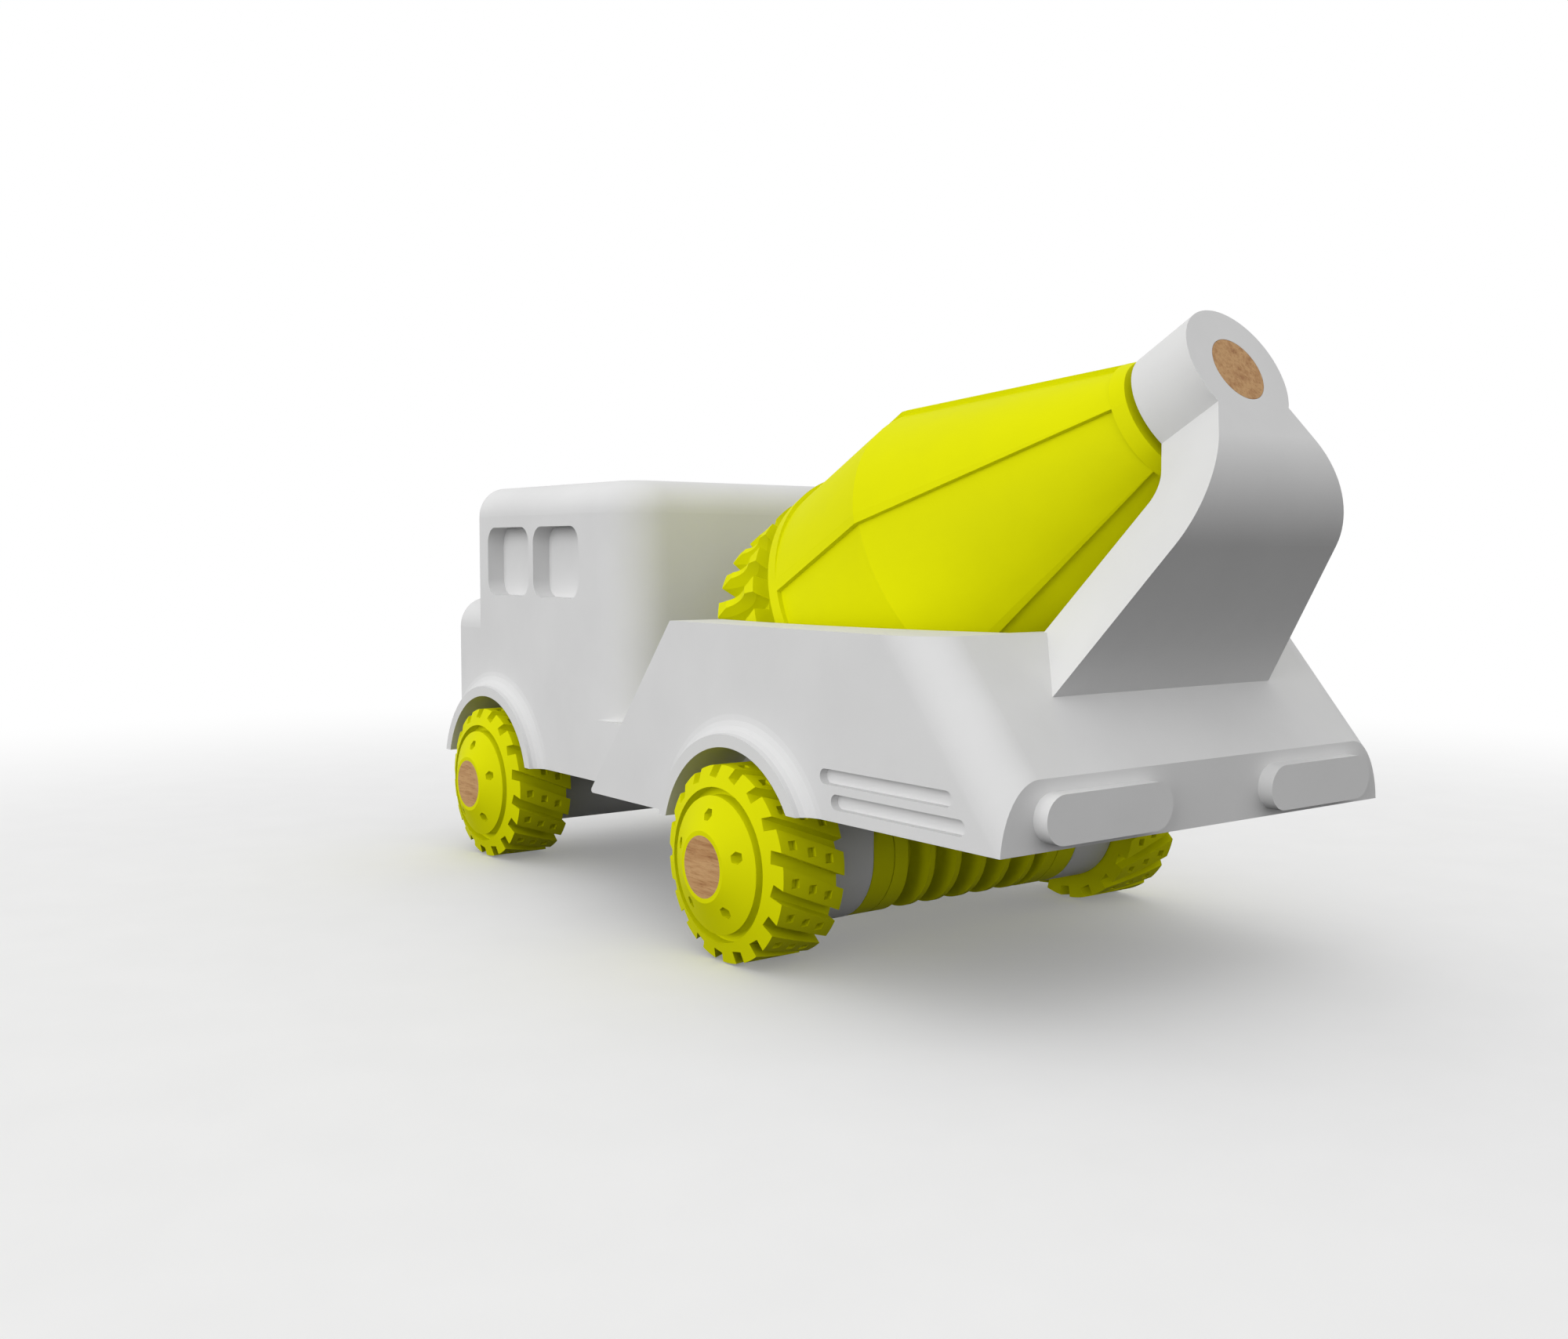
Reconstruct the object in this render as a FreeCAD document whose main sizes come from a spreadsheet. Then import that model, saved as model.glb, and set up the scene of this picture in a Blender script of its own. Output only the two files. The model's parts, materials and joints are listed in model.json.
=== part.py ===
import FreeCAD, Part
import math
import os
import Sketcher

# Toy cement mixer: printed cab, chassis, mixer bed and drum, wooden dowel axles.
# Units are millimetres. +Z is up, the cab faces -Y, +X is the left side of the truck.
# The origin is on the ground, straight below the middle of the rear axle.

doc = FreeCAD.newDocument("toy_cement_mixer")
sheet = doc.addObject("Spreadsheet::Sheet", "dims")

PARAMETERS = {
    "dowel_rad": 6.0,           # stock wooden dowel, 12 mm
    "run_gap": 0.06,            # radial running clearance round a turning dowel
    "tyre_rad": 19.1,
    "tyre_wide": 14.3,
    "tyre_swell": 1.65,         # outer tyre wall leans out this much toward the hub
    "groove_out": 14.94,        # ring groove between tyre and hub
    "groove_in": 13.35,
    "groove_floor": 13.7,
    "hub_rim": 16.3,
    "hub_tip": 19.4,
    "hub_tip_rad": 6.9,
    "wheelbase": 122.6,
    "rear_axle_y": 32.0,        # rear axle behind the middle of the whole truck
    "rear_inner": 40.8,         # inner face of the rear tyres
    "front_inner": 30.9,
    "lug_count": 17,
    "lug_twist": 17.5,          # turn of a tread notch across the tyre width, degrees
    "notch_floor": 16.5,
    "notch_wide": 2.55,
    "notch_start": 11.3,        # angle of the first notch on the outer face, degrees
    "pit_size": 1.75,
    "pit_deep": 1.3,
    "hub_pit_rad": 1.25,
    "hub_pit_circle": 9.9,
    "half_wide": 42.2,          # cab and chassis half width
    "chassis_low": 25.3,
    "chassis_top": 39.8,
    "chassis_front": -86.0,
    "chassis_rear": -25.0,
    "cab_front": -143.1,
    "cab_screen": -131.0,       # windscreen plane above the hood
    "cab_rear": -58.5,
    "cab_top": 95.3,
    "hood_top": 66.3,
    "roof_round": 7.6,
    "corner_round": 12.0,
    "hood_round": 7.6,
    "window_deep": 4.5,
    "window_low": 67.6,
    "window_high": 84.9,
    "window_round": 4.0,
    "arch_rad": 22.4,
    "flare_flat": 2.5,          # flat rim round a wheel arch
    "flare_blend": 3.7,         # hollow sweep from rim to side wall
    "flare_proud": 3.0,
    "bed_half": 51.6,
    "bed_top": 64.8,
    "bed_low": 25.4,
    "bed_low_rear": 31.0,
    "bed_front_low": -57.5,
    "bed_front_top": -24.4,
    "bed_rear_top": 52.0,
    "tail_face": 70.5,
    "tail_top": 42.85,
    "deck_round": 8.5,
    "bore_rad": 39.5,           # round trough that holds the drum
    "bore_end": -44.0,          # rear end of the trough, measured along the drum axis
    "slot_deep": 1.6,
    "slot_tall": 2.8,
    "light_wide": 30.6,
    "light_tall": 8.3,
    "light_deep": 3.0,
    "light_mid": 29.0,
    "light_high": 36.45,
    "bearing_in": 29.2,
    "bearing_out": 40.3,
    "bearing_rad": 13.8,
    "bearing_top": 34.0,
    "block_rad": 11.6,          # round foot of the front axle block
    "nose_rear": 120.0,         # front drum bearing, distance along the axis
    "nose_long": 8.0,
    "drum_tilt": 28.83,
    "top_along": 74.17,         # rear end of the drum dowel, Y and Z
    "top_up": 110.05,
    "tube_rad": 12.0,
    "tube_long": 13.2,
    "arm_flare": 0.575,         # widening of the arm per mm below the drum axis
    "arm_half": 5.56,
    "drum_back": -15.0,
    "drum_back_rad": 12.0,
    "drum_wide_at": -65.6,
    "drum_rad": 35.0,
    "drum_front": -97.0,
    "drum_front_rad": 35.3,
    "drum_wall": 3.0,
    "panel_step": 1.0,
    "gear_mid": -108.84,
    "gear_half": 7.35,
    "gear_rad": 35.65,
    "gear_neck": 30.5,
    "gear_root": 29.7,
    "gear_teeth": 28,
    "gap_root_half": 1.25,      # half widths of the tooth gap from its root outward
    "gap_mid_half": 1.8,
    "gap_mid_rad": 32.4,
    "gap_tip_half": 3.6,
    "gap_out_half": 3.75,
    "gap_open": 3.0,
    "worm_axis_gap": 43.9,      # drum axis to worm axis
    "worm_rad": 13.75,
    "worm_core": 8.6,
    "worm_pitch": 7.27,
    "worm_flange": 20.2,
    "worm_half": 23.5,
    "thread_crest": 1.4,
    "thread_root": 3.2,
    "collar_in": 23.8,
    "collar_out": 29.0,
    "axle_rear_half": 60.2,
    "axle_front_half": 50.3,
    "drum_axle_end": -128.0,
}

for row, (alias, value) in enumerate(PARAMETERS.items(), start=1):
    sheet.set("A%d" % row, alias)
    sheet.set("B%d" % row, str(value))
    sheet.setAlias("B%d" % row, alias)
doc.recompute()


class Dim:
    """A length that knows its value and the spreadsheet expression behind it."""

    def __init__(self, value, text):
        self.value = float(value)
        self.text = text

    def _join(self, other, sign, value, flip=False):
        other_text = other.text if isinstance(other, Dim) else repr(float(other))
        pair = (other_text, self.text) if flip else (self.text, other_text)
        return Dim(value, "(%s %s %s)" % (pair[0], sign, pair[1]))

    def __add__(self, other):
        return self._join(other, "+", self.value + num(other))

    __radd__ = __add__

    def __sub__(self, other):
        return self._join(other, "-", self.value - num(other))

    def __rsub__(self, other):
        return self._join(other, "-", num(other) - self.value, flip=True)

    def __mul__(self, other):
        return self._join(other, "*", self.value * num(other))

    __rmul__ = __mul__

    def __neg__(self):
        return Dim(-self.value, "(-1 * %s)" % self.text)


def num(length):
    """Plain number behind a Dim or a number."""
    return length.value if isinstance(length, Dim) else float(length)


def dim(alias):
    """Spreadsheet value by name."""
    return Dim(PARAMETERS[alias], "dims.%s" % alias)


def bind(obj, prop, length):
    """Tie a property to the spreadsheet, or set it when it is a plain number."""
    if isinstance(length, Dim):
        obj.setExpression(prop, length.text)
    else:
        setattr(obj, prop, length)


def origin_plane(body, role):
    """Datum plane of a body's own origin, found by its role."""
    for feature in body.Origin.OriginFeatures:
        if feature.Role == role:
            return feature
    raise ValueError(role)


def new_body(label):
    body = doc.addObject("PartDesign::Body", label)
    body.Label = label
    return body


def new_sketch(body, name, role, offset=0.0, turn=None):
    """Sketch on an origin plane, moved along its normal and optionally turned."""
    sketch = body.newObject("Sketcher::SketchObject", name)
    sketch.AttachmentSupport = [(origin_plane(body, role), "")]
    sketch.MapMode = "FlatFace"
    placement = FreeCAD.Placement()
    if turn is not None:
        placement.Rotation = turn
    placement.Base = FreeCAD.Vector(0, 0, num(offset))
    sketch.AttachmentOffset = placement
    if isinstance(offset, Dim):
        sketch.setExpression("AttachmentOffset.Base.z", offset.text)
    return sketch


def pin_point(sketch, geo, pos, x, y):
    """Hold a point at (x, y) with distances that follow the spreadsheet."""
    for kind, length in (("DistanceX", x), ("DistanceY", y)):
        index = sketch.addConstraint(Sketcher.Constraint(kind, -1, 1, geo, pos, num(length)))
        if isinstance(length, Dim):
            sketch.setExpression("Constraints[%d]" % index, length.text)


def polygon(sketch, points):
    """Closed outline through the points, each one pinned by dimensions."""
    first = sketch.GeometryCount
    count = len(points)
    for i in range(count):
        a = points[i]
        b = points[(i + 1) % count]
        start = FreeCAD.Vector(num(a[0]), num(a[1]), 0)
        end = FreeCAD.Vector(num(b[0]), num(b[1]), 0)
        sketch.addGeometry(Part.LineSegment(start, end))
    for i in range(count):
        after = first + (i + 1) % count
        sketch.addConstraint(Sketcher.Constraint("Coincident", first + i, 2, after, 1))
    for i, (x, y) in enumerate(points):
        pin_point(sketch, first + i, 1, x, y)


def circle(sketch, x, y, radius):
    centre = FreeCAD.Vector(num(x), num(y), 0)
    geo = sketch.addGeometry(Part.Circle(centre, FreeCAD.Vector(0, 0, 1), num(radius)))
    pin_point(sketch, geo, 3, x, y)
    index = sketch.addConstraint(Sketcher.Constraint("Radius", geo, num(radius)))
    if isinstance(radius, Dim):
        sketch.setExpression("Constraints[%d]" % index, radius.text)
    return geo


def pad(body, name, sketch, length, both=False, back=False):
    feature = body.newObject("PartDesign::Pad", name)
    feature.Profile = sketch
    bind(feature, "Length", length)
    feature.Midplane = both
    feature.Reversed = back
    return feature


def pocket(body, name, sketch, length, both=False, back=False):
    feature = body.newObject("PartDesign::Pocket", name)
    feature.Profile = sketch
    bind(feature, "Length", length)
    feature.Midplane = both
    feature.Reversed = back
    return feature


def spin(body, name, sketch, line="H_Axis", cut=False):
    """Revolve (or groove) a sketch about one of its own axes."""
    kind = "PartDesign::Groove" if cut else "PartDesign::Revolution"
    feature = body.newObject(kind, name)
    feature.Profile = sketch
    feature.ReferenceAxis = (sketch, [line])
    feature.Angle = 360.0
    return feature


def ring_pattern(body, name, originals, sketch, line, count):
    """Repeat features evenly round an axis of a sketch."""
    pattern = body.newObject("PartDesign::PolarPattern", name)
    pattern.Originals = originals
    pattern.Axis = (sketch, [line])
    pattern.Angle = 360.0
    bind(pattern, "Occurrences", count)
    body.Tip = pattern
    return pattern


def edges_where(feature, test):
    """Names of the edges whose centre and shape satisfy a test."""
    return ["Edge%d" % (i + 1) for i, edge in enumerate(feature.Shape.Edges) if test(edge)]


def round_edges(body, name, feature, edges, radius, chamfer=False):
    kind = "PartDesign::Chamfer" if chamfer else "PartDesign::Fillet"
    blend = body.newObject(kind, name)
    blend.Base = (feature, edges)
    bind(blend, "Size" if chamfer else "Radius", radius)
    return blend


def place(obj, x=0.0, y=0.0, z=0.0, turn=None):
    """Set the placement, with the position tied to the spreadsheet.

    Parts are drawn with the rear axle at y = 0, so each one moves by rear_axle_y here."""
    y = dim("rear_axle_y") + y
    base = FreeCAD.Vector(num(x), num(y), num(z))
    obj.Placement = FreeCAD.Placement(base, turn or FreeCAD.Rotation())
    for letter, length in (("x", x), ("y", y), ("z", z)):
        if isinstance(length, Dim):
            obj.setExpression("Placement.Base.%s" % letter, length.text)


def runs_along(edge, x, y, z):
    """True when a straight edge runs along the given direction."""
    ends = [vertex.Point for vertex in edge.Vertexes]
    if len(ends) != 2 or edge.Length < 0.01:
        return False
    way = ends[1] - ends[0]
    if abs(way.Length - edge.Length) > 1e-4:
        return False
    return abs(abs(way.normalize().dot(FreeCAD.Vector(x, y, z).normalize())) - 1) < 1e-4


TILT = FreeCAD.Rotation(FreeCAD.Vector(1, 0, 0), PARAMETERS["drum_tilt"])


def place_on_drum_axis(obj):
    """Drum parts are drawn along local Y, which is then tilted onto the drum axis."""
    place(obj, 0.0, dim("top_along"), dim("top_up"), TILT)


# ---- dowels -------------------------------------------------------------------------------

def dowel_across(label, half, y):
    body = new_body(label)
    outline = new_sketch(body, label + "_round", "YZ_Plane")
    circle(outline, 0.0, 0.0, dim("dowel_rad"))
    pad(body, label + "_length", outline, half * 2.0, both=True)
    place(body, 0.0, y, dim("tyre_rad"))
    return body


front_axle = dowel_across("front_axle", dim("axle_front_half"), -dim("wheelbase"))
rear_axle = dowel_across("rear_axle", dim("axle_rear_half"), 0.0)

drum_axle = new_body("drum_axle")
outline = new_sketch(drum_axle, "drum_axle_round", "XZ_Plane")
circle(outline, 0.0, 0.0, dim("dowel_rad"))
pad(drum_axle, "drum_axle_length", outline, -dim("drum_axle_end"))
place_on_drum_axis(drum_axle)


# ---- wheels -------------------------------------------------------------------------------

def corner_points(across, floor, top, angle):
    """Four corners of a tread notch seen along the axle, centred on an angle."""
    c, s = math.cos(math.radians(angle)), math.sin(math.radians(angle))
    corners = []
    for side, out in ((-across, floor), (across, floor), (across, top), (-across, top)):
        corners.append((out * c - side * s, out * s + side * c))
    return corners


NOTCH_LONG = 24.0              # longer than the tyre is wide, so each notch runs out at both faces
NOTCH_TALL = 5.0
PIT_ROWS = (3.5, 7.4, 11.5)    # three pits on each lug, from the inner face outward


def make_tyre(label, side, x, y):
    """Tyre drawn outward from its inner face; side is +1 for left wheels, -1 for right."""
    body = new_body(label)
    profile = new_sketch(body, label + "_section", "XZ_Plane")
    wide = dim("tyre_wide")
    outer = wide + dim("tyre_swell")
    points = [
        (0.0, dim("groove_in")),
        (0.0, dim("tyre_rad")),
        (side * wide, dim("tyre_rad")),
        (side * outer, dim("groove_out")),
        (side * dim("groove_floor"), dim("groove_out")),
        (side * dim("groove_floor"), dim("groove_in")),
    ]
    polygon(profile, points)
    spin(body, label + "_ring", profile)
    wide_now = PARAMETERS["tyre_wide"]
    lug_slope = PARAMETERS["lug_twist"] / wide_now
    lug_step = 360.0 / PARAMETERS["lug_count"]
    skew = math.degrees(math.atan(math.radians(lug_slope) * PARAMETERS["tyre_rad"]))
    across = PARAMETERS["notch_wide"] * math.cos(math.radians(skew))
    for i in range(PARAMETERS["lug_count"]):
        angle = PARAMETERS["notch_start"] - lug_slope * wide_now / 2 + i * lug_step
        notch = body.newObject("PartDesign::SubtractiveBox", "%s_notch_%d" % (label, i))
        notch.Length = NOTCH_LONG
        notch.Width = across
        notch.Height = NOTCH_TALL
        turn = FreeCAD.Rotation(FreeCAD.Vector(1, 0, 0), angle - 90)
        turn = turn.multiply(FreeCAD.Rotation(FreeCAD.Vector(0, 0, 1), -side * skew))
        corner = turn.multVec(FreeCAD.Vector(-NOTCH_LONG / 2, -across / 2, PARAMETERS["notch_floor"]))
        notch.Placement = FreeCAD.Placement(corner + FreeCAD.Vector(side * wide_now / 2, 0, 0), turn)
        notch.Refine = False
    size = PARAMETERS["pit_size"]
    deep = PARAMETERS["pit_deep"]
    for i, along in enumerate(PIT_ROWS):
        pit = body.newObject("PartDesign::SubtractiveBox", "%s_pit_%d" % (label, i))
        pit.Length = size
        pit.Width = size
        pit.Height = deep + 1.0
        angle = PARAMETERS["notch_start"] + lug_step / 2 + lug_slope * (along - wide_now)
        turn = FreeCAD.Rotation(FreeCAD.Vector(1, 0, 0), angle - 90)
        centre = FreeCAD.Vector(side * along - size / 2, 0, 0)
        reach = turn.multVec(FreeCAD.Vector(0, -size / 2, PARAMETERS["tyre_rad"] - deep))
        pit.Placement = FreeCAD.Placement(centre + reach, turn)
        pit.Refine = False
        row = ring_pattern(body, "%s_pits_%d" % (label, i), [pit], profile, "H_Axis", dim("lug_count"))
        row.Refine = False
    place(body, x, y, dim("tyre_rad"))
    return body


def make_hub(label, side, x, y):
    """Coned hub pressed into the tyre, with five small hexagon pits round the dowel."""
    body = new_body(label)
    profile = new_sketch(body, label + "_section", "XZ_Plane")
    points = [
        (0.0, dim("dowel_rad")),
        (0.0, dim("groove_in")),
        (side * dim("hub_rim"), dim("groove_in")),
        (side * dim("hub_tip"), dim("hub_tip_rad")),
        (side * dim("hub_tip"), dim("dowel_rad")),
    ]
    polygon(profile, points)
    spin(body, label + "_disc", profile)
    hexagon = new_sketch(body, label + "_hexagon", "YZ_Plane", side * (dim("hub_tip") + 1.0))
    circle_rad = PARAMETERS["hub_pit_circle"]
    rad = PARAMETERS["hub_pit_rad"]
    corners = []
    for i in range(6):
        angle = math.radians(60 * i)
        corners.append((rad * math.cos(angle), circle_rad + rad * math.sin(angle)))
    polygon(hexagon, corners)
    pit = pocket(body, label + "_pit", hexagon, 4.4, back=side < 0)
    ring_pattern(body, label + "_pits", [pit], profile, "H_Axis", 5)
    place(body, x, y, dim("tyre_rad"))
    return body


WHEELS = (
    ("front_left", 1, dim("front_inner"), -dim("wheelbase")),
    ("front_right", -1, -dim("front_inner"), -dim("wheelbase")),
    ("rear_left", 1, dim("rear_inner"), 0.0),
    ("rear_right", -1, -dim("rear_inner"), 0.0),
)
wheel_parts = []
for corner, side, x, y in WHEELS:
    wheel_parts.append(make_tyre("tyre_" + corner, side, x, y))
    wheel_parts.append(make_hub("hub_" + corner, side, x, y))


# ---- shared outlines ----------------------------------------------------------------------

def stadium(sketch, mid_x, mid_y, wide, tall):
    """Round-ended slot outline."""
    rad = tall / 2
    reach = wide / 2 - rad
    up = FreeCAD.Vector(0, 0, 1)
    left = FreeCAD.Vector(mid_x - reach, mid_y, 0)
    right = FreeCAD.Vector(mid_x + reach, mid_y, 0)
    lift = FreeCAD.Vector(0, rad, 0)
    quarter = math.pi / 2
    sketch.addGeometry(Part.LineSegment(left - lift, right - lift))
    sketch.addGeometry(Part.ArcOfCircle(Part.Circle(right, up, rad), -quarter, quarter))
    sketch.addGeometry(Part.LineSegment(right + lift, left + lift))
    sketch.addGeometry(Part.ArcOfCircle(Part.Circle(left, up, rad), quarter, 3 * quarter))


def rounded_box(sketch, x0, x1, y0, y1, rad):
    """Rectangle with round corners, sides at the given limits."""
    up = FreeCAD.Vector(0, 0, 1)
    quarter = math.pi / 2
    corners = ((x1 - rad, y1 - rad), (x0 + rad, y1 - rad), (x0 + rad, y0 + rad), (x1 - rad, y0 + rad))
    arcs = []
    for i, (cx, cy) in enumerate(corners):
        round_shape = Part.Circle(FreeCAD.Vector(cx, cy, 0), up, rad)
        arcs.append(Part.ArcOfCircle(round_shape, i * quarter, (i + 1) * quarter))
    for i in range(4):
        sketch.addGeometry(arcs[i])
        after = arcs[(i + 1) % 4]
        sketch.addGeometry(Part.LineSegment(arcs[i].EndPoint, after.StartPoint))


def ring_about(body, name, points, wheel_y):
    """Ring turned about a wheel's axle; points are (across, out from the axle)."""
    section = new_sketch(body, name + "_section", "XY_Plane", dim("tyre_rad"))
    polygon(section, [(x, wheel_y + out) for x, out in points])
    height = num(wheel_y)
    line = Part.LineSegment(FreeCAD.Vector(0, height, 0), FreeCAD.Vector(10, height, 0))
    section.addGeometry(line, True)
    ring = body.newObject("PartDesign::Revolution", name)
    ring.Profile = section
    ring.ReferenceAxis = (section, ["Axis0"])
    ring.Angle = 360.0
    return ring


def flare_sweep(body, name, side, wall, wheel_y):
    """Hollow sweep that blends the arch rim into the side wall."""
    rim = dim("arch_rad") + dim("flare_flat")
    proud = dim("flare_proud")
    blend = dim("flare_blend")
    points = [(side * (wall - 1.5), dim("arch_rad") - 1.0), (side * (wall + proud), dim("arch_rad") - 1.0)]
    for i in range(6):
        turn = math.pi / 2 * i / 5
        across = side * (wall + proud * (1 - math.sin(turn)))
        points.append((across, rim + blend * (1 - math.cos(turn))))
    points.append((side * (wall - 1.5), rim + blend))
    return ring_about(body, name, points, wheel_y)


def arch_rim(body, name, side, wall, wheel_y, depth):
    """Plain rim of a wheel arch, reaching in behind the wheel."""
    outer = wall + dim("flare_proud")
    rim = dim("arch_rad") + dim("flare_flat")
    points = [
        (side * (wall - depth), dim("arch_rad") - 1.0),
        (side * outer, dim("arch_rad") - 1.0),
        (side * outer, rim),
        (side * (wall - depth), rim),
    ]
    return ring_about(body, name, points, wheel_y)


def wheel_well(body, name, side, inner, wheel_y):
    """Round well cut in from the side, down to the inner limit."""
    outline = new_sketch(body, name + "_round", "YZ_Plane", side * inner)
    circle(outline, wheel_y, dim("tyre_rad"), dim("arch_rad"))
    return pocket(body, name, outline, 60.0, back=side > 0)


def clear_below(body, name, points):
    """Cut away everything inside a side-view outline, right across the truck."""
    outline = new_sketch(body, name + "_outline", "YZ_Plane")
    polygon(outline, points)
    return pocket(body, name, outline, 200.0, both=True)


SIDES = (("left", 1), ("right", -1))


# ---- cab ----------------------------------------------------------------------------------

cab = new_body("cab")
profile = new_sketch(cab, "cab_profile", "YZ_Plane")
polygon(profile, [
    (dim("cab_front"), dim("chassis_low")),
    (dim("cab_front"), dim("hood_top")),
    (dim("cab_screen"), dim("hood_top")),
    (dim("cab_screen"), dim("cab_top")),
    (dim("cab_rear"), dim("cab_top")),
    (dim("cab_rear"), dim("chassis_top")),
    (dim("chassis_front"), dim("chassis_top")),
    (dim("chassis_front"), dim("chassis_low")),
])
block = pad(cab, "cab_block", profile, dim("half_wide") * 2.0, both=True)
doc.recompute()


def upright_at(y):
    return lambda e: runs_along(e, 0, 0, 1) and abs(e.CenterOfMass.y - y) < 0.1


rear_posts = edges_where(block, upright_at(PARAMETERS["cab_rear"]))
shell = round_edges(cab, "cab_rear_round", block, rear_posts, dim("corner_round"))
doc.recompute()


def roof_edge(edge):
    box = edge.BoundBox
    return box.ZMin > PARAMETERS["cab_top"] - 0.01 and box.YMax > PARAMETERS["cab_screen"] + 0.01


def hood_edge(edge):
    box = edge.BoundBox
    on_top = abs(box.ZMin - PARAMETERS["hood_top"]) < 0.01
    return on_top and runs_along(edge, 0, 1, 0)


shell = round_edges(cab, "cab_roof_round", shell, edges_where(shell, roof_edge), dim("roof_round"))
doc.recompute()
shell = round_edges(cab, "cab_hood_round", shell, edges_where(shell, hood_edge), dim("hood_round"))
for name, side in SIDES:
    flare_sweep(cab, "cab_sweep_" + name, side, dim("half_wide"), -dim("wheelbase"))
clear_below(cab, "cab_nose_clear", [
    (dim("cab_front") - 40.0, 0.0),
    (dim("cab_front"), 0.0),
    (dim("cab_front"), dim("hood_top") - 10.0),
    (dim("cab_front") - 40.0, dim("hood_top") - 10.0),
])
for name, side in SIDES:
    arch_rim(cab, "cab_rim_" + name, side, dim("half_wide"), -dim("wheelbase"), 12.5)
clear_below(cab, "cab_under_clear", [
    (-200.0, -60.0),
    (0.0, -60.0),
    (0.0, dim("chassis_low")),
    (-200.0, dim("chassis_low")),
])
for name, side in SIDES:
    wheel_well(cab, "cab_well_" + name, side, dim("front_inner") - 2.0, -dim("wheelbase"))
low, high = PARAMETERS["window_low"], PARAMETERS["window_high"]
bend = PARAMETERS["window_round"]
for name, side in SIDES:
    panes = new_sketch(cab, "window_%s_outline" % name, "YZ_Plane", side * dim("half_wide"))
    rounded_box(panes, -126.2, -103.8, low, high, bend)
    rounded_box(panes, -101.4, -78.8, low, high, bend)
    pocket(cab, "window_" + name, panes, dim("window_deep"), back=side < 0)
screens = new_sketch(cab, "screen_outline", "XZ_Plane", -dim("cab_screen"))
rounded_box(screens, -33.0, -1.3, low + 1.5, high, bend)
rounded_box(screens, 1.3, 33.0, low + 1.5, high, bend)
pocket(cab, "screen", screens, dim("window_deep"))


# ---- chassis and axle blocks --------------------------------------------------------------

chassis = new_body("chassis")
profile = new_sketch(chassis, "chassis_profile", "YZ_Plane")
polygon(profile, [
    (dim("chassis_front"), dim("chassis_low")),
    (dim("chassis_rear"), dim("chassis_low")),
    (dim("chassis_rear"), dim("chassis_top")),
    (dim("chassis_front"), dim("chassis_top")),
])
pad(chassis, "chassis_beam", profile, dim("half_wide") * 2.0, both=True)


def axle_block(label, x0, x1, y, top, rad):
    """Upright plate with a round foot and a bore for a turning dowel."""
    body = new_body(label)
    outline = new_sketch(body, label + "_outline", "YZ_Plane", x0)
    up = FreeCAD.Vector(0, 0, 1)
    middle = FreeCAD.Vector(0, 0, 0)
    reach = num(rad)
    rise = num(top) - PARAMETERS["tyre_rad"]
    foot = Part.ArcOfCircle(Part.Circle(middle, up, reach), math.pi, 2 * math.pi)
    outline.addGeometry(foot)
    corners = [(reach, 0), (reach, rise), (-reach, rise), (-reach, 0)]
    for a, b in zip(corners[:-1], corners[1:]):
        start, end = FreeCAD.Vector(a[0], a[1], 0), FreeCAD.Vector(b[0], b[1], 0)
        outline.addGeometry(Part.LineSegment(start, end))
    pad(body, label + "_plate", outline, x1 - x0)
    bore = new_sketch(body, label + "_bore_round", "YZ_Plane", x0 - 1.0)
    circle(bore, 0.0, 0.0, dim("dowel_rad") + dim("run_gap"))
    pocket(body, label + "_bore", bore, x1 - x0 + 2.0, back=True)
    place(body, 0.0, y, dim("tyre_rad"))
    return body


front_half = dim("front_inner") - 2.0
front_block = axle_block(
    "front_axle_block", -front_half, front_half, -dim("wheelbase"), dim("chassis_low"), dim("block_rad"))
bearing_left = axle_block(
    "rear_bearing_left", dim("bearing_in"), dim("bearing_out"), 0.0, dim("bearing_top"), dim("bearing_rad"))
bearing_right = axle_block(
    "rear_bearing_right", -dim("bearing_out"), -dim("bearing_in"), 0.0, dim("bearing_top"),
    dim("bearing_rad"))


# ---- mixer bed ----------------------------------------------------------------------------

bed = new_body("mixer_bed")
profile = new_sketch(bed, "bed_profile", "YZ_Plane")
polygon(profile, [
    (dim("bed_front_low"), dim("bed_low")),
    (dim("bed_front_top"), dim("bed_top")),
    (dim("bed_rear_top"), dim("bed_top")),
    (dim("tail_face"), dim("tail_top")),
    (dim("tail_face"), dim("bed_low_rear")),
    (0.0, dim("bed_low_rear")),
    (0.0, dim("bed_low")),
])
block = pad(bed, "bed_block", profile, dim("bed_half") * 2.0, both=True)
doc.recompute()
deck_way = (0.0, num(dim("tail_face") - dim("bed_rear_top")), num(dim("tail_top") - dim("bed_top")))
deck_sides = edges_where(block, lambda e: runs_along(e, *deck_way))
shell = round_edges(bed, "bed_deck_round", block, deck_sides, dim("deck_round"))
doc.recompute()


def low_front(edge):
    box = edge.BoundBox
    return runs_along(edge, 1, 0, 0) and box.YMax < PARAMETERS["bed_front_low"] + 0.01


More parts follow.
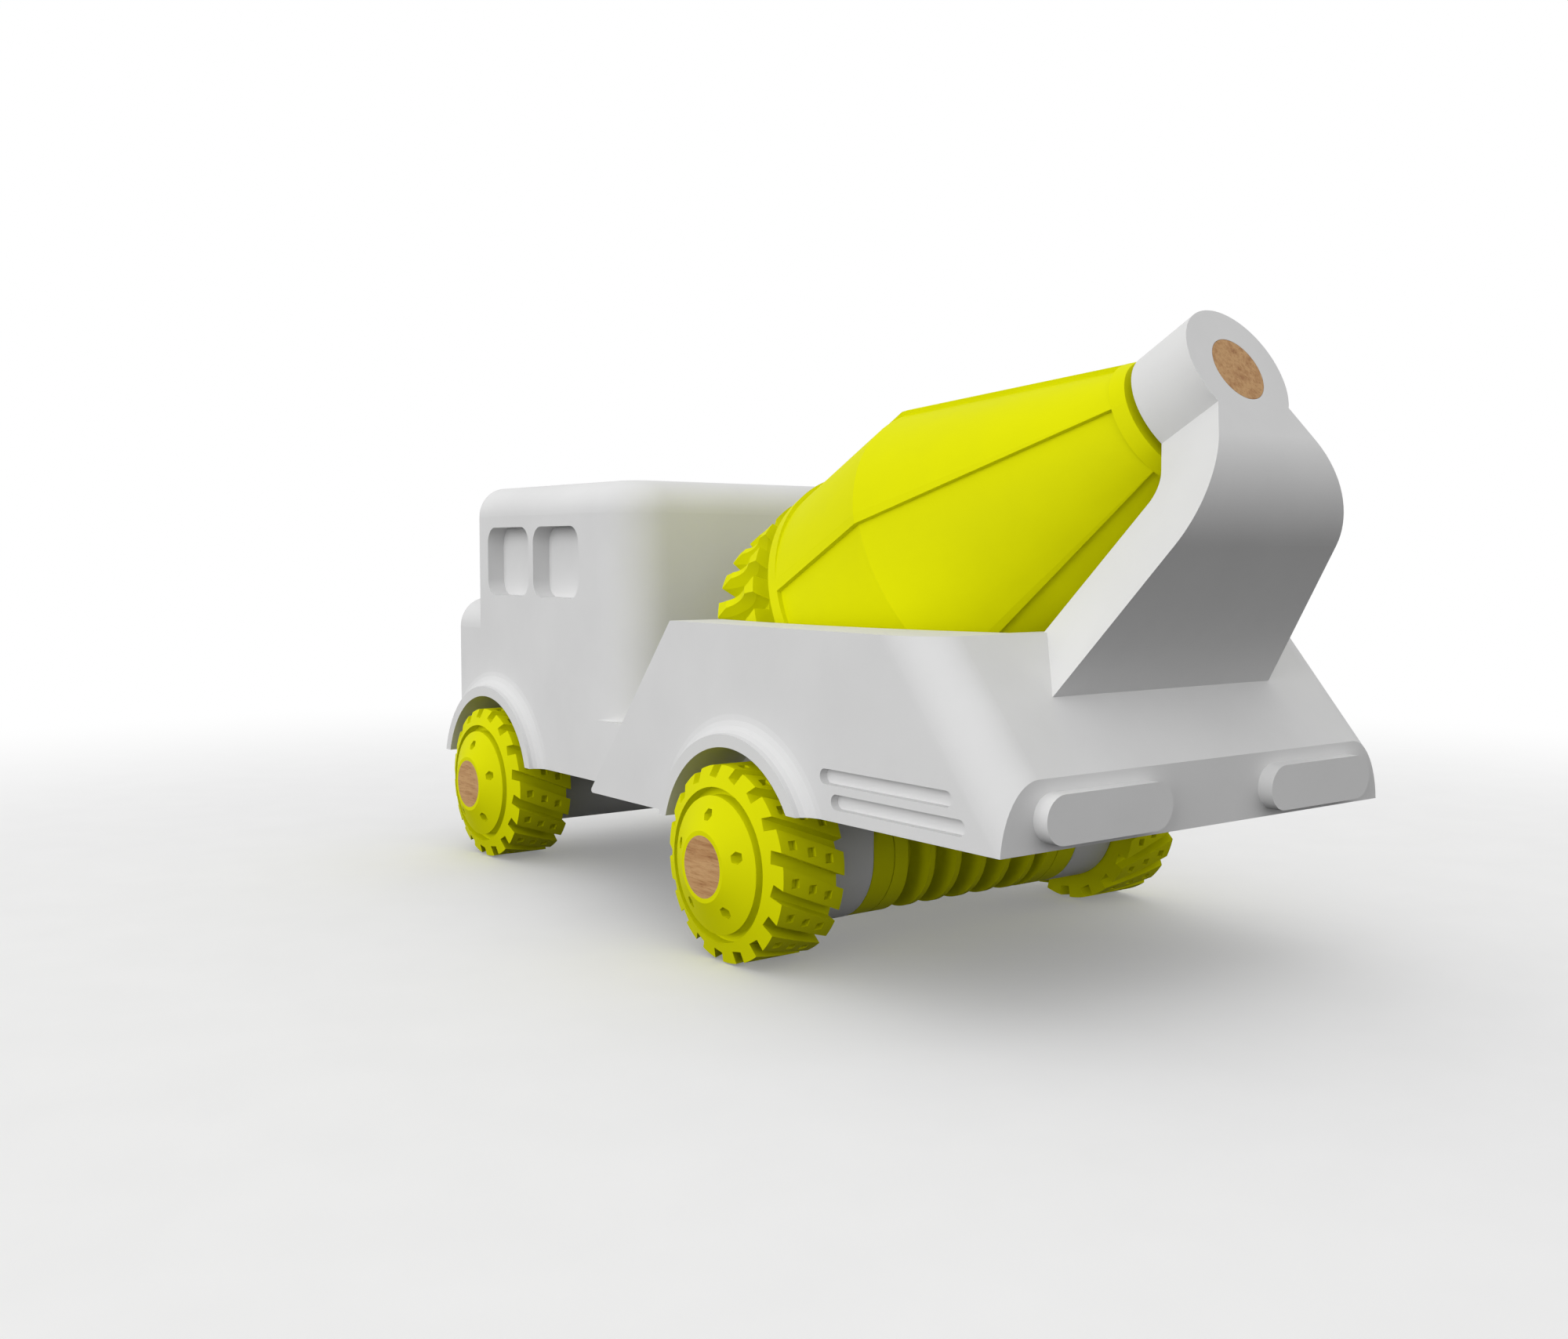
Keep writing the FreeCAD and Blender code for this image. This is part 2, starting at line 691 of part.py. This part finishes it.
round_edges(bed, "bed_toe_round", shell, edges_where(shell, low_front), 0.6)
for name, side in SIDES:
    flare_sweep(bed, "bed_sweep_" + name, side, dim("bed_half"), 0.0)
    arch_rim(bed, "bed_rim_" + name, side, dim("bed_half"), 0.0, 6.0)
clear_below(bed, "bed_under_clear", [
    (-100.0, -60.0),
    (100.0, -60.0),
    (100.0, dim("bed_low_rear")),
    (0.0, dim("bed_low_rear")),
    (0.0, dim("bed_low")),
    (-100.0, dim("bed_low")),
])
for name, side in SIDES:
    wheel_well(bed, "bed_well_" + name, side, dim("bearing_out"), 0.0)
trough = bed.newObject("PartDesign::SubtractiveCylinder", "drum_trough")
bind(trough, "Radius", dim("bore_rad"))
trough.Height = 95.0
along_drum = TILT.multVec(FreeCAD.Vector(0, 1, 0))
trough_base = FreeCAD.Vector(0, PARAMETERS["top_along"], PARAMETERS["top_up"])
trough_base = trough_base + along_drum * PARAMETERS["bore_end"]
trough.Placement = FreeCAD.Placement(trough_base, FreeCAD.Rotation(FreeCAD.Vector(0, 0, 1), -along_drum))


def box_cut(body, name, half, y0, y1, z0, z1):
    """Rectangular channel across the middle of a body."""
    outline = new_sketch(body, name + "_outline", "YZ_Plane")
    polygon(outline, [(y0, z0), (y1, z0), (y1, z1), (y0, z1)])
    return pocket(body, name, outline, half * 2.0, both=True)


box_cut(bed, "chassis_channel", dim("half_wide"), -90.0, dim("chassis_rear"), 0.0, dim("chassis_top"))
box_cut(bed, "bearing_seat", dim("bearing_out"), -dim("bearing_rad"), dim("bearing_rad"), 0.0,
        dim("bearing_top"))
box_cut(bed, "worm_tunnel", dim("bearing_in"), -16.0, 16.0, 0.0, dim("bearing_top"))
for name, side in SIDES:
    for level, (mid_y, mid_z) in (("high", (42.3, 38.9)), ("low", (45.5, 34.6))):
        slot = new_sketch(bed, "slot_%s_%s_outline" % (name, level), "YZ_Plane", side * dim("bed_half"))
        stadium(slot, mid_y, mid_z, 34.3, PARAMETERS["slot_tall"])
        pocket(bed, "slot_%s_%s" % (name, level), slot, dim("slot_deep"), back=side < 0)


def lamp(label, mid_x, mid_z, face_y, wide, tall, deep, forward):
    """Raised round-ended lamp pad standing on the tail or the nose."""
    body = new_body(label)
    outline = new_sketch(body, label + "_outline", "XZ_Plane")
    stadium(outline, 0.0, 0.0, wide, tall)
    pad(body, label + "_pad", outline, deep, back=not forward)
    place(body, mid_x, face_y, mid_z)
    return body


light_size = (PARAMETERS["light_wide"], PARAMETERS["light_tall"])
lamps = []
for name, side in SIDES:
    lamps.append(lamp("tail_light_" + name, side * dim("light_mid"), dim("light_high"), dim("tail_face"),
                      light_size[0], light_size[1], dim("light_deep"), False))
for name, side in SIDES:
    lamps.append(lamp("headlight_" + name, side * 26.0, 46.0, dim("cab_front"), 14.0, 9.0, 2.5, True))


# ---- drum support -------------------------------------------------------------------------

def on_drum(y, z):
    """Side-view point of the truck given as (along, above) the drum axis."""
    angle = math.radians(PARAMETERS["drum_tilt"])
    c, s = math.cos(angle), math.sin(angle)
    dy, dz = y - PARAMETERS["top_along"], z - PARAMETERS["top_up"]
    return (dy * c + dz * s, dz * c - dy * s)


FRONT_SLOPE = 0.43
REAR_SLOPE = 0.465
front_knee = (-PARAMETERS["tube_long"], -16.05)
rear_knee = (0.0, -24.2)
deck_edge = on_drum(PARAMETERS["bed_rear_top"], PARAMETERS["bed_top"])
tail_edge = on_drum(PARAMETERS["tail_face"], PARAMETERS["tail_top"])


def meet(point, slope, a, b):
    """Where a line from a point with a slope crosses the line through a and b."""
    run, rise = b[0] - a[0], b[1] - a[1]
    share = (point[1] + slope * (a[0] - point[0]) - a[1]) / (rise - slope * run)
    return (a[0] + share * run, a[1] + share * rise)


flat_edge = on_drum(PARAMETERS["bed_rear_top"] - 10.0, PARAMETERS["bed_top"])
foot_front = meet(front_knee, FRONT_SLOPE, flat_edge, deck_edge)
foot_rear = meet(rear_knee, REAR_SLOPE, deck_edge, tail_edge)

arm = new_body("drum_arm")
profile = new_sketch(arm, "arm_profile", "YZ_Plane")
polygon(profile, [
    (-dim("tube_long"), 4.0),
    (0.0, 4.0),
    rear_knee,
    foot_rear,
    deck_edge,
    foot_front,
    (-dim("tube_long"), front_knee[1]),
])
block = pad(arm, "arm_block", profile, 70.0, both=True)
doc.recompute()


def across_at(y, z):
    def test(edge):
        middle = edge.CenterOfMass
        return runs_along(edge, 1, 0, 0) and abs(middle.y - y) < 0.1 and abs(middle.z - z) < 0.1
    return test


shell = round_edges(arm, "arm_rear_bend", block, edges_where(block, across_at(*rear_knee)), 17.0)
doc.recompute()
knee = edges_where(shell, across_at(*front_knee))
round_edges(arm, "arm_front_bend", shell, knee, 5.0)
for name, side in SIDES:
    taper = new_sketch(arm, "arm_taper_%s_outline" % name, "XZ_Plane")
    half_at = [(z, side * (dim("arm_half") - dim("arm_flare") * z)) for z in (6.0, -64.0)]
    polygon(taper, [
        (half_at[0][1], half_at[0][0]),
        (side * 60.0, half_at[0][0]),
        (side * 60.0, half_at[1][0]),
        (half_at[1][1], half_at[1][0]),
    ])
    pocket(arm, "arm_taper_" + name, taper, 200.0, both=True)
tube = new_sketch(arm, "arm_tube_round", "XZ_Plane")
circle(tube, 0.0, 0.0, dim("tube_rad"))
pad(arm, "arm_tube", tube, dim("tube_long"))
bore = new_sketch(arm, "arm_bore_round", "XZ_Plane")
circle(bore, 0.0, 0.0, dim("dowel_rad") + dim("run_gap"))
pocket(arm, "arm_bore", bore, 60.0, both=True)
place_on_drum_axis(arm)

nose = new_body("drum_nose_block")
outline = new_sketch(nose, "nose_outline", "XZ_Plane", dim("nose_rear"))
up = FreeCAD.Vector(0, 0, 1)
rad = 11.0
outline.addGeometry(Part.ArcOfCircle(Part.Circle(FreeCAD.Vector(0, 0, 0), up, rad), 0, math.pi))
for a, b in (((-rad, 0), (-rad, -26)), ((-rad, -26), (rad, -26)), ((rad, -26), (rad, 0))):
    outline.addGeometry(Part.LineSegment(FreeCAD.Vector(a[0], a[1], 0), FreeCAD.Vector(b[0], b[1], 0)))
pad(nose, "nose_block", outline, dim("nose_long"))
bore = new_sketch(nose, "nose_bore_round", "XZ_Plane")
circle(bore, 0.0, 0.0, dim("dowel_rad") + dim("run_gap"))
pocket(nose, "nose_bore", bore, 400.0, both=True)
foot = new_sketch(nose, "nose_foot_outline", "YZ_Plane")
ledge = [on_drum(y, PARAMETERS["chassis_top"]) for y in (-90.0, 20.0)]
polygon(foot, [ledge[0], (ledge[0][0], ledge[0][1] - 60.0), (ledge[1][0], ledge[1][1] - 60.0), ledge[1]])
pocket(nose, "nose_foot", foot, 100.0, both=True)
place_on_drum_axis(nose)


# ---- drum ---------------------------------------------------------------------------------

drum = new_body("drum_shell")
profile = new_sketch(drum, "drum_profile", "XY_Plane")
wall = dim("drum_wall")
polygon(profile, [
    (dim("dowel_rad"), dim("drum_back")),
    (dim("drum_back_rad"), dim("drum_back")),
    (dim("drum_rad"), dim("drum_wide_at")),
    (dim("drum_front_rad"), dim("drum_front") + 1.0),
    (dim("drum_front_rad") - 1.0, dim("drum_front")),
    (27.0, dim("drum_front")),
    (27.0, dim("drum_front") + wall),
    (dim("drum_front_rad") - wall - 1.2, dim("drum_front") + wall),
    (dim("drum_rad") - wall - 1.4, dim("drum_wide_at") - 1.0),
    (11.2, -23.0),
    (9.0, -23.0),
    (9.0, dim("drum_front")),
    (dim("dowel_rad"), dim("drum_front")),
])
spin(drum, "drum_turned", profile, "V_Axis")

# Six shallow panels. Each starts with a step and runs out flush about 55 degrees on,
# because it is turned about a line beside the drum axis.
step = PARAMETERS["panel_step"]
beside = step / (1.0 - math.cos(math.radians(55.0)))
panel = new_sketch(drum, "panel_section", "XY_Plane")
slope = (PARAMETERS["drum_back_rad"] - PARAMETERS["drum_rad"]) / (
    PARAMETERS["drum_back"] - PARAMETERS["drum_wide_at"])
rear_rad = PARAMETERS["drum_back_rad"] + slope * (-17.6 - PARAMETERS["drum_back"])
corners = [
    (rear_rad - step, -17.6),
    (PARAMETERS["drum_rad"] - step, PARAMETERS["drum_wide_at"]),
    (PARAMETERS["drum_front_rad"] - step, -93.2),
    (44.0, -93.2),
    (44.0, -17.6),
]
polygon(panel, corners)
line = Part.LineSegment(FreeCAD.Vector(-beside, 0, 0), FreeCAD.Vector(-beside, 10, 0))
panel.addGeometry(line, True)
recess = drum.newObject("PartDesign::Groove", "panel_recess")
recess.Profile = panel
recess.ReferenceAxis = (panel, ["Axis0"])
recess.Angle = 60.0
ring_pattern(drum, "panel_recesses", [recess], profile, "V_Axis", 6)
PANEL_TURN = FreeCAD.Rotation(FreeCAD.Vector(0, 1, 0), -10.9)
place(drum, 0.0, dim("top_along"), dim("top_up"), TILT.multiply(PANEL_TURN))

gear = new_body("drum_gear")
profile = new_sketch(gear, "gear_profile", "XY_Plane")
half = dim("gear_half")
polygon(profile, [
    (dim("dowel_rad"), dim("drum_front") - dim("gear_mid")),
    (dim("gear_neck"), dim("drum_front") - dim("gear_mid")),
    (dim("gear_neck"), half),
    (dim("gear_rad"), half),
    (dim("gear_rad"), -half),
    (dim("dowel_rad"), -half),
])
spin(gear, "gear_blank", profile, "V_Axis")
lead = PARAMETERS["worm_pitch"] / (2 * math.pi)
pitch_rad = PARAMETERS["gear_teeth"] * lead
lead_angle = math.degrees(math.atan(lead / (PARAMETERS["worm_axis_gap"] - pitch_rad)))
skew = FreeCAD.Rotation(FreeCAD.Vector(0, 1, 0), lead_angle)
gap = new_sketch(gear, "tooth_gap_section", "XZ_Plane", turn=skew)
axis_down = -PARAMETERS["worm_axis_gap"]
gap_side = [
    (PARAMETERS["gap_root_half"], -PARAMETERS["gear_root"]),
    (PARAMETERS["gap_mid_half"], -PARAMETERS["gap_mid_rad"]),
    (PARAMETERS["gap_tip_half"], -PARAMETERS["gear_rad"]),
    (PARAMETERS["gap_out_half"], axis_down + PARAMETERS["gap_open"]),
]
polygon(gap, [(-across, along) for across, along in gap_side] + gap_side[::-1])
line = Part.LineSegment(FreeCAD.Vector(0, axis_down, 0), FreeCAD.Vector(10, axis_down, 0))
gap.addGeometry(line, True)
tooth_gap = gear.newObject("PartDesign::Groove", "tooth_gap")
tooth_gap.Profile = gap
tooth_gap.ReferenceAxis = (gap, ["Axis0"])
tooth_gap.Angle = 360.0
tooth_gap.Refine = False
teeth = ring_pattern(gear, "teeth", [tooth_gap], profile, "V_Axis", dim("gear_teeth"))
teeth.Refine = False
doc.recompute()
throat = new_sketch(gear, "throat_section", "XY_Plane")
circle(throat, dim("worm_axis_gap"), 0.0, dim("worm_core") + 0.5)
throat_cut = spin(gear, "throat", throat, "V_Axis", cut=True)
throat_cut.Refine = False
GEAR_TURN = FreeCAD.Rotation(FreeCAD.Vector(0, 1, 0), -2.6)
gear_base = TILT.multVec(FreeCAD.Vector(0, PARAMETERS["gear_mid"], 0))
gear_y = PARAMETERS["top_along"] + gear_base.y
place(gear, 0.0, gear_y, PARAMETERS["top_up"] + gear_base.z, TILT.multiply(GEAR_TURN))


# ---- worm drive on the rear axle ----------------------------------------------------------

worm = new_body("worm")
profile = new_sketch(worm, "worm_profile", "XZ_Plane")
polygon(profile, [
    (-dim("worm_half"), dim("dowel_rad")),
    (-dim("worm_half"), dim("worm_rad")),
    (-dim("worm_flange"), dim("worm_rad")),
    (-dim("worm_flange"), dim("worm_core")),
    (dim("worm_flange"), dim("worm_core")),
    (dim("worm_flange"), dim("worm_rad")),
    (dim("worm_half"), dim("worm_rad")),
    (dim("worm_half"), dim("dowel_rad")),
])
spin(worm, "worm_core_ring", profile)
crest, root = PARAMETERS["thread_crest"] / 2, PARAMETERS["thread_root"] / 2
start = 0.89 - 3 * PARAMETERS["worm_pitch"]
thread = new_sketch(worm, "thread_section", "XZ_Plane")
core = PARAMETERS["worm_core"] - 0.4
polygon(thread, [
    (start - root, core),
    (start - crest, PARAMETERS["worm_rad"]),
    (start + crest, PARAMETERS["worm_rad"]),
    (start + root, core),
])
helix = worm.newObject("PartDesign::AdditiveHelix", "worm_thread")
helix.Profile = thread
helix.ReferenceAxis = (thread, ["H_Axis"])
helix.Mode = 1
bind(helix, "Pitch", dim("worm_pitch"))
helix.Turns = 5.8
helix.LeftHanded = False
place(worm, 0.0, 0.0, dim("tyre_rad"))


def ring_part(label, x0, x1, outer):
    """Plain spacer ring on a dowel."""
    body = new_body(label)
    outline = new_sketch(body, label + "_outline", "YZ_Plane", x0)
    circle(outline, 0.0, 0.0, outer)
    circle(outline, 0.0, 0.0, dim("dowel_rad"))
    pad(body, label + "_ring", outline, x1 - x0)
    return body


collars = []
for name, low_x, high_x in (("left", dim("collar_in"), dim("collar_out")),
                            ("right", -dim("collar_out"), -dim("collar_in"))):
    collar = ring_part("worm_collar_" + name, low_x, high_x, dim("worm_rad"))
    place(collar, 0.0, 0.0, dim("tyre_rad"))
    collars.append(collar)

spacer = new_body("drum_spacer")
outline = new_sketch(spacer, "spacer_outline", "XZ_Plane", -(dim("gear_mid") - dim("gear_half")))
circle(outline, 0.0, 0.0, 9.0)
circle(outline, 0.0, 0.0, dim("dowel_rad"))
pad(spacer, "spacer_ring", outline, 3.5)
place_on_drum_axis(spacer)


for fixed_part in (cab, chassis, bed):
    place(fixed_part)

EXPORTS = [front_axle, rear_axle, drum_axle, cab, chassis, front_block, bearing_left, bearing_right]
EXPORTS += [bed, arm, nose, drum, gear, spacer, worm] + collars + lamps + wheel_parts


def save_all():
    """Check every object, then write one STEP file for each named part."""
    doc.recompute()
    for obj in doc.Objects:
        for word in ("Invalid", "Error"):
            if word in obj.State:
                raise RuntimeError("%s is %s" % (obj.Label, obj.State))
    os.makedirs("parts", exist_ok=True)
    for obj in EXPORTS:
        shape = obj.Shape
        if shape.isNull() or not shape.isValid():
            raise RuntimeError("%s has a bad shape" % obj.Label)
        shape.exportStep(os.path.join("parts", obj.Label + ".step"))
        print("%-22s %8.0f mm3 solids %d" % (obj.Label, shape.Volume, len(shape.Solids)))


save_all()
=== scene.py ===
"""Looks of the toy cement mixer truck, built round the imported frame. Lengths are in metres."""

import json
import math

import bpy
from mathutils import Matrix, Vector

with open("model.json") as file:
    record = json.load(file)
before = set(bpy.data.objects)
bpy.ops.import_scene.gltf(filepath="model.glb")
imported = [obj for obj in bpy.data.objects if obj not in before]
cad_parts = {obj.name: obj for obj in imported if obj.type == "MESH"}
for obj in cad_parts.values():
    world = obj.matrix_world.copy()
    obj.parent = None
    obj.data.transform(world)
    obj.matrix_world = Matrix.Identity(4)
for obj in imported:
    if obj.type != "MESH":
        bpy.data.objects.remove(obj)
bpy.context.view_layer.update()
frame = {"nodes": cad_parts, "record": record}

WHITE = (0.70, 0.70, 0.70)
YELLOW = (0.70, 0.71, 0.0005)
AXLE_STREAKS = (40.0, 90.0, 900.0)     # grain detail per metre along x, y and z: long streaks in x
DRUM_STREAKS = (700.0, 60.0, 700.0)    # long streaks in y, once the wood is turned by DRUM_TILT
DRUM_TILT = math.radians(28.83)        # slope of the drum's dowel

FLOOR_RADIUS = 6.0
FLOOR_DROP = 0.0002                    # keeps the floor just clear of the tyres
FADE_START = 0.2                       # floor distances between which it turns to backdrop white
FADE_END = 0.5
# FLOOR_GLOW is painted light: a share of white glow that lightens the truck's shadow on the floor beside
# it.
FLOOR_GLOW = 0.2                       # share of white mixed into the floor beside the truck

DOME_LEVEL = 0.86
DOME_BELOW = 0.01
KEY_PLACE = (2.5, 0.3, 0.9)
KEY_AIM = (0.0, 0.0, 0.05)
KEY_SIZE = 2.4
KEY_POWER = 39.0

CAMERA_PLACE = (0.22012, 0.27054, 0.0785)
YAW = math.radians(53.065)
PITCH = math.radians(-4.336)
ROLL = math.radians(0.177)
LENS_MM = 35.13
SENSOR_MM = 36.0


def nodes_of(slot):
    """Names of the CAD nodes that take a material slot."""
    return [entry["node"] for entry in frame["record"]["subparts"] if entry["material_slot"] == slot]


# ---- node helpers -------------------------------------------------------------------------

class Recipe:
    """Short way to write a node tree: each call adds one node and links its inputs."""

    def __init__(self, tree):
        self.tree = tree
        tree.nodes.clear()

    def add(self, kind, settings=None, **inputs):
        node = self.tree.nodes.new(kind)
        for name, value in (settings or {}).items():
            setattr(node, name, value)
        for name, value in inputs.items():
            self.feed(node, name.replace("_", " "), value)
        return node

    def feed(self, node, name, value):
        socket = node.inputs[name]
        if isinstance(value, bpy.types.NodeSocket):
            self.tree.links.new(value, socket)
        else:
            socket.default_value = value

    def ramp(self, source, stops):
        """Colour ramp from (position, colour) stops."""
        node = self.add("ShaderNodeValToRGB", Fac=source)
        elements = node.color_ramp.elements
        while len(elements) < len(stops):
            elements.new(0.5)
        for element, (position, colour) in zip(elements, stops):
            element.position = position
            element.color = (*colour, 1.0)
        return node.outputs["Color"]

    def spread(self, source, low, high):
        """Noise value stretched to run from low to high."""
        node = self.add(
            "ShaderNodeMapRange", Value=source, From_Min=0.3, From_Max=0.7, To_Min=low, To_Max=high)
        return node.outputs["Result"]


def scaled(colour, factor):
    return tuple(min(1.0, channel * factor) for channel in colour)


# ---- materials ----------------------------------------------------------------------------

def plastic(name, colour, roughness, shine):
    """Fine-textured moulded plastic: faint tone drift, fine skin grain and slightly uneven gloss."""
    material = bpy.data.materials.new(name)
    material.use_nodes = True
    tree = Recipe(material.node_tree)
    place = tree.add("ShaderNodeTexCoord").outputs["Object"]
    drift = tree.add("ShaderNodeTexNoise", Vector=place, Scale=45.0, Detail=4.0, Roughness=0.55)
    skin = tree.add("ShaderNodeTexNoise", Vector=place, Scale=2600.0, Detail=3.0, Roughness=0.6)
    tone = tree.ramp(drift.outputs["Fac"], [(0.3, scaled(colour, 0.965)), (0.7, scaled(colour, 1.02))])
    uneven = tree.spread(drift.outputs["Fac"], roughness - 0.05, roughness + 0.07)
    bump = tree.add("ShaderNodeBump", Strength=0.18, Distance=0.00006, Height=skin.outputs["Fac"])
    shader = tree.add(
        "ShaderNodeBsdfPrincipled", Base_Color=tone, Roughness=uneven, Normal=bump.outputs["Normal"])
    shader.inputs["Specular IOR Level"].default_value = shine
    out = tree.add("ShaderNodeOutputMaterial")
    tree.feed(out, "Surface", shader.outputs["BSDF"])
    return material


def dowel_wood(name, along, streaks):
    """Bare dowel: long grain lines, darker pores, and rays that show as streaks on the ends."""
    material = bpy.data.materials.new(name)
    material.use_nodes = True
    tree = Recipe(material.node_tree)
    place = tree.add("ShaderNodeTexCoord").outputs["Object"]
    stretch = tree.add("ShaderNodeMapping", Vector=place)
    stretch.inputs["Rotation"].default_value = along
    stretch.inputs["Scale"].default_value = streaks
    grain_place = stretch.outputs["Vector"]
    rings = tree.add("ShaderNodeTexNoise", Vector=grain_place, Scale=1.0, Detail=5.0, Roughness=0.6)
    pores = tree.add("ShaderNodeTexNoise", Vector=grain_place, Scale=3.4, Detail=4.0, Roughness=0.7)
    grain = tree.ramp(rings.outputs["Fac"], [
        (0.30, (0.36, 0.17, 0.065)),
        (0.42, (0.46, 0.25, 0.105)),
        (0.58, (0.56, 0.335, 0.155)),
        (0.72, (0.43, 0.235, 0.10)),
    ])
    dark = tree.ramp(pores.outputs["Fac"], [(0.36, (0.74, 0.66, 0.58)), (0.46, (1.0, 1.0, 1.0))])
    colour = tree.add("ShaderNodeMix", {"data_type": "RGBA", "blend_type": "MULTIPLY"})
    colour.inputs[0].default_value = 0.8
    tree.tree.links.new(grain, colour.inputs[6])
    tree.tree.links.new(dark, colour.inputs[7])
    bump = tree.add("ShaderNodeBump", Strength=0.35, Distance=0.0001, Height=pores.outputs["Fac"])
    gloss = tree.spread(rings.outputs["Fac"], 0.55, 0.75)
    shader = tree.add(
        "ShaderNodeBsdfPrincipled", Base_Color=colour.outputs[2], Roughness=gloss,
        Normal=bump.outputs["Normal"])
    shader.inputs["Specular IOR Level"].default_value = 0.2
    out = tree.add("ShaderNodeOutputMaterial")
    tree.feed(out, "Surface", shader.outputs["BSDF"])
    return material


def give(nodes, material):
    for node in nodes:
        mesh = frame["nodes"][node].data
        mesh.materials.clear()
        mesh.materials.append(material)


give(nodes_of("white_plastic"), plastic("white_plastic_skin", WHITE, 0.62, 0.1))
give(nodes_of("yellow_plastic"), plastic("yellow_plastic_skin", YELLOW, 0.6, 0.03))
give(["front_axle", "rear_axle"], dowel_wood("axle_wood", (0.05, 0.0, 0.0), AXLE_STREAKS))
give(["drum_axle"], dowel_wood("drum_dowel_wood", (-DRUM_TILT, 0.0, 0.0), DRUM_STREAKS))


# ---- floor and light ----------------------------------------------------------------------

def floor_material():
    """Pale matte floor that fades to the white of the backdrop away from the truck, with a share of painted
    glow beside it that lightens the truck's shadow.
    """
    material = bpy.data.materials.new("pale_floor")
    material.use_nodes = True
    tree = Recipe(material.node_tree)
    place = tree.add("ShaderNodeTexCoord").outputs["Object"]
    noise = tree.add("ShaderNodeTexNoise", Vector=place, Scale=60.0, Detail=2.0)
    tone = tree.ramp(noise.outputs["Fac"], [(0.3, (0.93, 0.93, 0.93)), (0.7, (0.95, 0.95, 0.95))])
    matte = tree.add("ShaderNodeBsdfDiffuse", Color=tone)
    # Painted light: this white glow is mixed in at FLOOR_GLOW beside the truck and lightens the truck's
    # shadow there; further out it becomes the backdrop white.
    white = tree.add("ShaderNodeEmission", Strength=1.0)
    away = tree.add("ShaderNodeVectorMath", {"operation": "LENGTH"})
    tree.tree.links.new(place, away.inputs[0])
    fade = tree.add("ShaderNodeMapRange", {"interpolation_type": "SMOOTHSTEP"}, Value=away.outputs["Value"],
                    From_Min=FADE_START, From_Max=FADE_END, To_Min=FLOOR_GLOW, To_Max=1.0)
    mix = tree.add("ShaderNodeMixShader", Fac=fade.outputs["Result"])
    tree.tree.links.new(matte.outputs["BSDF"], mix.inputs[1])
    tree.tree.links.new(white.outputs["Emission"], mix.inputs[2])
    out = tree.add("ShaderNodeOutputMaterial")
    tree.feed(out, "Surface", mix.outputs["Shader"])
    return material


bpy.ops.mesh.primitive_circle_add(
    vertices=96, radius=FLOOR_RADIUS, fill_type="NGON", location=(0.0, 0.0, -FLOOR_DROP))
floor = bpy.context.object
floor.name = "floor"
floor.data.materials.append(floor_material())

# The floor sends no light back up, so the tail, the treads and the underside stay in soft shade.
floor.visible_diffuse = False

world = bpy.data.worlds.new("studio")
bpy.context.scene.world = world
world.use_nodes = True
room = Recipe(world.node_tree)
way = room.add("ShaderNodeTexCoord").outputs["Generated"]
up_down = room.add("ShaderNodeSeparateXYZ", Vector=way).outputs["Z"]
above = room.add("ShaderNodeMapRange", {"interpolation_type": "SMOOTHSTEP"}, Value=up_down,
                 From_Min=-0.1, From_Max=0.0, To_Min=DOME_BELOW, To_Max=DOME_LEVEL).outputs["Result"]
dome = room.add("ShaderNodeBackground", Color=(1.0, 1.0, 1.0, 1.0), Strength=above)
paper = room.add("ShaderNodeBackground", Color=(1.0, 1.0, 1.0, 1.0), Strength=1.0)
seen = room.add("ShaderNodeLightPath").outputs["Is Camera Ray"]
sky = room.add("ShaderNodeMixShader", Fac=seen)
room.tree.links.new(dome.outputs["Background"], sky.inputs[1])
room.tree.links.new(paper.outputs["Background"], sky.inputs[2])
room.feed(room.add("ShaderNodeOutputWorld"), "Surface", sky.outputs["Shader"])


def soft_light(name, place, aim, width, power):
    light = bpy.data.lights.new(name, "AREA")
    light.shape = "SQUARE"
    light.size = width
    light.energy = power
    holder = bpy.data.objects.new(name, light)
    bpy.context.scene.collection.objects.link(holder)
    holder.location = place
    holder.rotation_euler = (Vector(aim) - Vector(place)).to_track_quat("-Z", "Y").to_euler()
    return holder


# The key light reaches the truck but leaves out the floor, whose shadow is the dome's alone.
unlit = bpy.data.collections.new("unlit_by_key")
unlit.objects.link(floor)
unlit.collection_objects[0].light_linking.link_state = "EXCLUDE"
key = soft_light("key", KEY_PLACE, KEY_AIM, KEY_SIZE, KEY_POWER)
key.light_linking.receiver_collection = unlit


# ---- camera -------------------------------------------------------------------------------

forward = Vector((-math.cos(YAW) * math.cos(PITCH), -math.sin(YAW) * math.cos(PITCH), math.sin(PITCH)))
right = Vector((-math.sin(YAW), math.cos(YAW), 0.0))
up = right.cross(forward)
tilt_right = right * math.cos(ROLL) + up * math.sin(ROLL)
tilt_up = up * math.cos(ROLL) - right * math.sin(ROLL)
lens = bpy.data.cameras.new("camera")
lens.sensor_width = SENSOR_MM
lens.lens = LENS_MM
lens.clip_start = 0.01
camera = bpy.data.objects.new("camera", lens)
bpy.context.scene.collection.objects.link(camera)
axes = Matrix((tilt_right, tilt_up, -forward)).transposed().to_4x4()
camera.matrix_world = Matrix.Translation(Vector(CAMERA_PLACE)) @ axes
bpy.context.scene.camera = camera
bpy.context.scene.view_settings.view_transform = "Standard"
